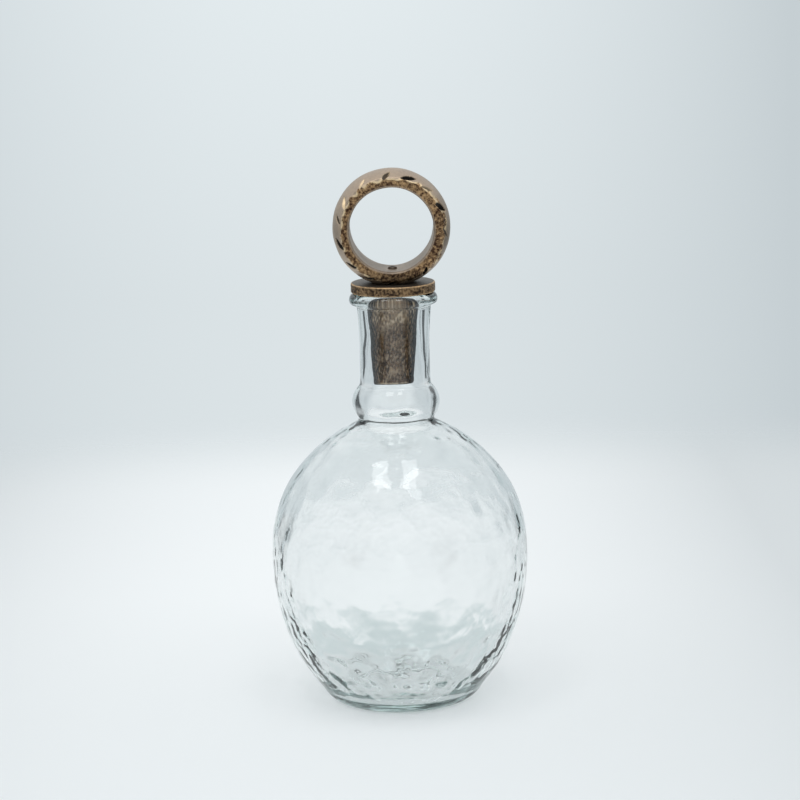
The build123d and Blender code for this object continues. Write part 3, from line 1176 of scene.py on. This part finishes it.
@dataclass
class StopperPlug:
    """The tapered plug in the neck, left rough from the mould."""

    top: float = 224.7 * MM
    top_radius: float = 13.9 * MM
    length: float = 48.5 * MM
    taper: float = math.radians(3.0)
    tip_round: float = 1.0 * MM
    lean: float = 1.4 * MM
    segments: int = 240
    step: float = 0.5 * MM
    # The cast skin: streaks and lumps
    streaks: Ripple = Ripple(1.15 * MM, 61, stretch=(1, 1, 1.9))
    streak_depth: float = 0.1 * MM
    lumps: Ripple = Ripple(6 * MM, 62)
    lump_depth: float = 0.12 * MM
    # Wear, patina, a paler top, painted glints low down and a painted highlight on the tip's rim,
    # by how far down the plug a point lies, from 0 to 1
    tip_rim: tuple = (0.97, 0.985)
    tip_tilt: tuple = (0.1, 0.4)
    tip_highlight: float = 0.8
    rub_levels: tuple = (0.0, 1.8)
    rub_lumps: float = 0.6
    rub_base: float = 0.22
    top_pale: float = 0.7
    top_pale_fade: tuple = (0.25, 0.4)
    painted_glints: float = 0.15
    painted_glint_rise: tuple = (0.5, 0.7)
    dark_levels: tuple = (0.6, 2.2)
    dark_lumps: float = 0.4
    dark_share: float = 0.6
    satin_top: float = 0.45
    satin_fade: tuple = (0.22, 0.42)

    def profile(self) -> np.ndarray:
        """Draw the plug from the middle of its tip to the middle of its top."""
        bottom = self.top - self.length
        tip = self.top_radius - self.length * math.tan(self.taper)
        outline = Outline((0, bottom))
        outline.line((tip - self.tip_round, bottom))
        outline.corner((tip, bottom), (tip, bottom + self.tip_round))
        outline.line((self.top_radius, self.top), 60)
        outline.line((0, self.top))
        return resampled(outline.points, np.full(len(outline.points), self.step))

    def build(self) -> Object:
        """Model the plug with its streaked, rough-cast skin."""
        grid, normals = turned_grid(self.profile(), self.segments)
        points, outward = grid.reshape(-1, 3), normals.reshape(-1, 3)
        flatness = np.abs(outward[:, 2])
        down = (self.top - points[:, 2]) / self.length
        streaks, lumps = self.streaks.at(points), self.lumps.at(points)
        pressed = self.streak_depth * (1 + streaks) + self.lump_depth * (1 + lumps)
        pressed = np.clip(pressed, 0, None) * (1 - flatness)
        points = points - outward * pressed[:, None]
        points[:, 0] -= self.lean * np.clip(down, 0, 1)
        # The tip's rim is painted in the rubbed colour as a highlight
        rim = ramp(down, *self.tip_rim) * ramp(flatness, *self.tip_tilt)
        # The plug's peaks are paler towards its top
        rub_and_glint = self.rub_base + self.top_pale * (1 - ramp(down, *self.top_pale_fade))
        # Painted glints: lighter flecks on the peaks low down the plug
        rub_and_glint += self.painted_glints * ramp(down, *self.painted_glint_rise)
        peaks = ramp(streaks + self.rub_lumps * lumps, *self.rub_levels)
        hollows = ramp(-streaks - self.dark_lumps * lumps, *self.dark_levels)
        marks = {
            Mark.RUB_AND_GLINT: np.maximum(peaks * rub_and_glint, self.tip_highlight * rim),
            Mark.CUT: hollows * self.dark_share,
            Mark.RELIEF: 1 - self.satin_top * (1 - ramp(down, *self.satin_fade)),
        }
        return grid_object("stopper_plug_cast", points.reshape(grid.shape), False, marks)

    def dress(self, piece: Object) -> None:
        """Give the plug its rough dark bronze."""
        # Low, high, rubbed with painted glints, and satin
        colours = ("#3a2412", "#8b6f53", "#dcc6aa", "#c6a98a")
        finish = AntiqueBronze(
            "rough_cast_metal_antique_bronze_plug",
            *colours,
            mottle_size=1.2 * MM,
            stretch=(1.0, 1.0, 0.7),
            grain_height=0.12 * MM,
            # Painted shade on the plug's sides, where it turns away from the view
            edge_shade=1.0,
            edge_tint="#3a3028",
        )
        dress(piece, finish.make(), Body.STOPPER)
        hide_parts("stopper_plug")


@dataclass
class RingScrew:
    """The screw that holds the stopper together, which is the CAD's own mesh."""

    node: str = "ring_screw"

    def build(self) -> Object:
        """Give the CAD's screw."""
        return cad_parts[self.node]

    def dress(self, piece: Object) -> None:
        """Give the screw its bronzed steel."""
        piece.data.materials.clear()
        piece.data.materials.append(BronzedSteel().make())


@dataclass
class Studio:
    """A sheet of pale paper, two strip lamps over it, pale backdrops round it and the camera.

    The paper fades out a little way off, and the backdrop shows there. A backdrop stands on each
    of the four sides. Low down in the gaps between them the dark room shows in glass and metal,
    which draws the thin dark lines in the neck's glass. The camera itself sees backdrop only.
    """

    sensor_width: float = 36
    frame_pixels: float = 800
    focal_pixels: float = 2435
    camera_distance: float = 1294.2 * MM
    camera_height: float = 421.4 * MM
    camera_offset: float = 2.2 * MM
    pitch: float = math.radians(11.2)
    roll: float = math.radians(1.5)
    paper_colour: str = "#fdfefe"
    # Painted falloff of light: the paper is greyer towards the sides and the front
    paper_side_shade_colour: str = "#dee1e2"
    paper_front_shade_colour: str = "#ebeeef"
    paper_roughness: float = 0.9
    paper_reach: float = 900 * MM
    # Where the paper starts to fade and is gone, and where it starts to for light through glass
    paper_fade: tuple = (460 * MM, 800 * MM)
    paper_fade_through: float = 190 * MM
    paper_bright_x: float = -40 * MM
    paper_bright_reach: float = 290 * MM
    paper_front: tuple = (-400 * MM, 200 * MM)
    # The painted shadow's place behind the object, its reach across and back, and the shares of
    # that reach between which it fades
    painted_shadow_colour: str = "#d2dcdc"
    shade_middle: float = 85 * MM
    shade_reach: tuple = (200 * MM, 55 * MM)
    shade_edge: tuple = (0.0, 1.3)
    air_gap: float = 0.05 * MM
    # Rises and reaches in the world are shares of a unit direction
    backdrop_low_colour: str = "#dbe3e6"
    backdrop_high_colour: str = "#e5edf0"
    backdrop_side_colour: str = "#c6cfd3"
    backdrop_rise: tuple = (-0.15, 0.0)
    backdrop_bright_x: float = -0.03
    backdrop_bright_reach: float = 0.19
    ceiling_colour: str = "#eef2f4"
    ceiling_rise: tuple = (0.15, 0.5)
    room_colour: str = "#34383a"
    room_top: tuple = (-0.02, 0.08)
    # How far from its middle a backdrop is gone, and is whole
    window_degrees: tuple = (41, 34)
    lamp_radiance: float = 2.7
    lamp_distance: float = 1200 * MM
    lamp_width: float = 250 * MM
    lamp_length: float = 560 * MM
    lamp_sides: tuple = (-280 * MM, 190 * MM)
    lamp_elevation: float = math.radians(75)
    lamp_aim: float = 120 * MM
    # Light passes the bottle's walls many times, and what glass throws on the paper is soft
    glass_bounces: int = 24
    glossy_bounces: int = 12
    glossy_softening: float = 0.25

    def build_camera(self) -> None:
        """Place the camera where the photograph was taken from."""
        data = bpy.data.cameras.new("camera")
        data.lens = self.focal_pixels / self.frame_pixels * self.sensor_width
        data.sensor_width = self.sensor_width
        camera = placed("camera", data)
        camera.location = (self.camera_offset, -self.camera_distance, self.camera_height)
        aim = Euler((math.pi / 2 - self.pitch, 0, 0)).to_quaternion()
        camera.rotation_mode = "QUATERNION"
        camera.rotation_quaternion = aim @ Euler((0, 0, -self.roll)).to_quaternion()
        bpy.context.scene.camera = camera

    def build_paper(self) -> None:
        """Lay the paper under the object, with a film of air between them."""
        mesh = bpy.data.meshes.new("paper")
        sheet = bmesh.new()
        bmesh.ops.create_grid(sheet, x_segments=16, y_segments=16, size=self.paper_reach)
        sheet.to_mesh(mesh)
        sheet.free()
        mesh.materials.append(self.paper_finish())
        paper = placed("paper", mesh)
        paper.location.z = -self.air_gap

    @staticmethod
    def distance_share(tree: NodeTree, value: NodeSocket, middle: float, reach: float) -> Node:
        """Rise as a parabola from 0 at a middle value to 1 at its reach and beyond.

        Args:
            tree: the node tree.
            value: the socket to read.
            middle: where the share is 0.
            reach: how far from there the share is 1.

        Returns:
            The node that gives the share.
        """
        offset = add(tree, "MapRange", {"Value": value, 1: middle, 2: middle + reach}, clamp=False)
        square = add(tree, "Math", {0: offset, 1: offset}, operation="MULTIPLY")
        return add(tree, "Math", {0: square, 1: 1.0}, operation="MINIMUM")

    def paper_finish(self) -> Material:
        """Make the paper matt and painted greyer away from the lamps, and let it fade out at its
        edge.
        """
        # Uncoated paper gives the eye a soft white without reflections
        material, tree = new_material("paper_matt_white")
        place = add(tree, "TexCoord").outputs["Object"]
        axes = list(add(tree, "SeparateXYZ", {0: place}).outputs)
        # Painted falloff of light: greyer towards the front and the sides
        near, far = self.paper_front
        front = add(tree, "MapRange", {"Value": axes[1], 1: far, 2: near})
        side = self.distance_share(tree, axes[0], self.paper_bright_x, self.paper_bright_reach)
        colour = linear(self.paper_colour)
        for share, coat in (
            (front, self.paper_front_shade_colour),
            (side, self.paper_side_shade_colour),
            # Painted shadow of the bottle, seen only through glass
            (self.shade(tree, axes), self.painted_shadow_colour),
        ):
            colour = add(tree, "Mix", {0: share, 6: colour, 7: linear(coat)}, data_type="RGBA")
        # The distance from the middle, measured in squares with round corners
        powers = [add(tree, "Math", {0: axis, 1: 4.0}, operation="POWER") for axis in axes[:2]]
        both = add(tree, "Math", dict(enumerate(powers)), operation="ADD")
        reach = add(tree, "Math", {0: both, 1: 0.25}, operation="POWER")
        # The shoulder's glass squeezes the far paper together, so the paper fades sooner in it
        through = add(tree, "LightPath").outputs["Is Transmission Ray"]
        ends = {"Value": through, 3: self.paper_fade[0], 4: self.paper_fade_through}
        span = {"Value": reach, 1: add(tree, "MapRange", ends), 2: self.paper_fade[1]}
        matt = {"Base Color": colour, "Roughness": self.paper_roughness}
        surfaces = {
            0: add(tree, "MapRange", span, interpolation_type="SMOOTHERSTEP"),
            1: add(tree, "BsdfPrincipled", matt),
            2: add(tree, "BsdfTransparent"),
        }
        add(tree, "OutputMaterial", {"Surface": add(tree, "MixShader", surfaces)})
        return material

    def shade(self, tree: NodeTree, axes: list[NodeSocket]) -> Node:
        """Paint the shadow that the bottle throws under and behind itself, seen only through glass.

        Args:
            tree: the paper's node tree.
            axes: the sockets of the place's X, Y and Z.

        Returns:
            The node that gives how deep the painted shadow is.
        """
        wide, deep = self.shade_reach
        behind = {0: axes[1], 1: 1 / deep, 2: -self.shade_middle / deep}
        place = {
            0: add(tree, "Math", {0: axes[0], 1: 1 / wide}, operation="MULTIPLY"),
            1: add(tree, "Math", behind, operation="MULTIPLY_ADD"),
        }
        away = add(tree, "VectorMath", {0: add(tree, "CombineXYZ", place)}, operation="LENGTH")
        core, edge = self.shade_edge
        fall = {"Value": away, 1: core, 2: edge, 3: 1.0, 4: 0.0}
        parts = {
            0: add(tree, "MapRange", fall, interpolation_type="SMOOTHSTEP"),
            1: add(tree, "LightPath").outputs["Is Transmission Ray"],
        }
        return add(tree, "Math", parts, operation="MULTIPLY")

    def build_world(self) -> None:
        """Surround the scene with the backdrops, a bright ceiling and the dark room below."""
        world = bpy.data.worlds.new("studio")
        world.use_nodes = True
        tree = world.node_tree
        tree.nodes.clear()
        axes = add(tree, "SeparateXYZ", {0: add(tree, "TexCoord").outputs["Generated"]}).outputs
        sizes = [add(tree, "Math", {0: axis}, operation="ABSOLUTE") for axis in axes[:2]]
        facing = add(tree, "Math", dict(enumerate(sizes)), operation="MAXIMUM")
        wide, narrow = (math.cos(math.radians(angle)) for angle in self.window_degrees)
        low, high = self.room_top
        lit, above = (
            add(tree, "MapRange", span, interpolation_type="SMOOTHSTEP")
            for span in ({"Value": facing, 1: wide, 2: narrow}, {"Value": axes[2], 1: low, 2: high})
        )
        seen = {0: add(tree, "Math", {0: lit, 1: above}, operation="MAXIMUM")}
        seen[1] = add(tree, "LightPath").outputs["Is Camera Ray"]
        shown = add(tree, "Math", seen, operation="MAXIMUM")
        backdrop, ceiling = (
            add(tree, "MapRange", {"Value": axes[2], 1: low, 2: high})
            for low, high in (self.backdrop_rise, self.ceiling_rise)
        )
        bright = (self.backdrop_bright_x, self.backdrop_bright_reach)
        colour = linear(self.backdrop_low_colour)
        for share, coat in (
            (backdrop, self.backdrop_high_colour),
            (self.distance_share(tree, axes[0], *bright), self.backdrop_side_colour),
            (ceiling, self.ceiling_colour),
        ):
            colour = add(tree, "Mix", {0: share, 6: colour, 7: linear(coat)}, data_type="RGBA")
        room = {0: shown, 6: linear(self.room_colour), 7: colour}
        glow = {"Color": add(tree, "Mix", room, data_type="RGBA"), "Strength": 1.0}
        add(tree, "OutputWorld", {"Surface": add(tree, "Background", glow)})
        bpy.context.scene.world = world

    def build_lamps(self) -> None:
        """Hang two strip lamps side by side, high up and a little before the object."""
        before = self.lamp_distance * math.cos(self.lamp_elevation)
        over = self.lamp_distance * math.sin(self.lamp_elevation)
        for name, side in zip(("lamp_left", "lamp_right"), self.lamp_sides):
            data = bpy.data.lights.new(name, "AREA")
            data.shape = "RECTANGLE"
            data.size, data.size_y = self.lamp_width, self.lamp_length
            data.energy = self.lamp_radiance * math.pi * data.size * data.size_y
            lamp = placed(name, data)
            lamp.location = (side, -before, over + self.lamp_aim)
            # Both run front to back, which draws upright streaks on the shoulder
            away = Vector((side, -before, over)).normalized()
            along = away.cross(Vector((1, 0, 0))).normalized()
            lamp.rotation_mode = "QUATERNION"
            axes = Matrix((along.cross(away), along, away)).transposed()
            lamp.rotation_quaternion = axes.to_quaternion()

    def build(self) -> None:
        """Set up paper, light and camera, and how far light is followed through glass."""
        self.build_camera()
        self.build_paper()
        self.build_world()
        self.build_lamps()
        bpy.context.scene.view_settings.view_transform = "Standard"
        tracing = bpy.context.scene.cycles
        tracing.max_bounces = tracing.transmission_bounces = self.glass_bounces
        tracing.glossy_bounces = self.glossy_bounces
        tracing.blur_glossy = self.glossy_softening


def main() -> None:
    """Build the studio and the pieces in order, and report each."""
    logging.basicConfig(level=logging.INFO, format="%(name)s: %(message)s")
    Studio().build()
    for maker in (GlassBottle(), PullRing(), StopperDisc(), StopperPlug(), RingScrew()):
        piece = maker.build()
        maker.dress(piece)
        LOG.info("%s: %d faces", piece.name, len(piece.data.polygons))


if __name__ == "__main__":
    main()
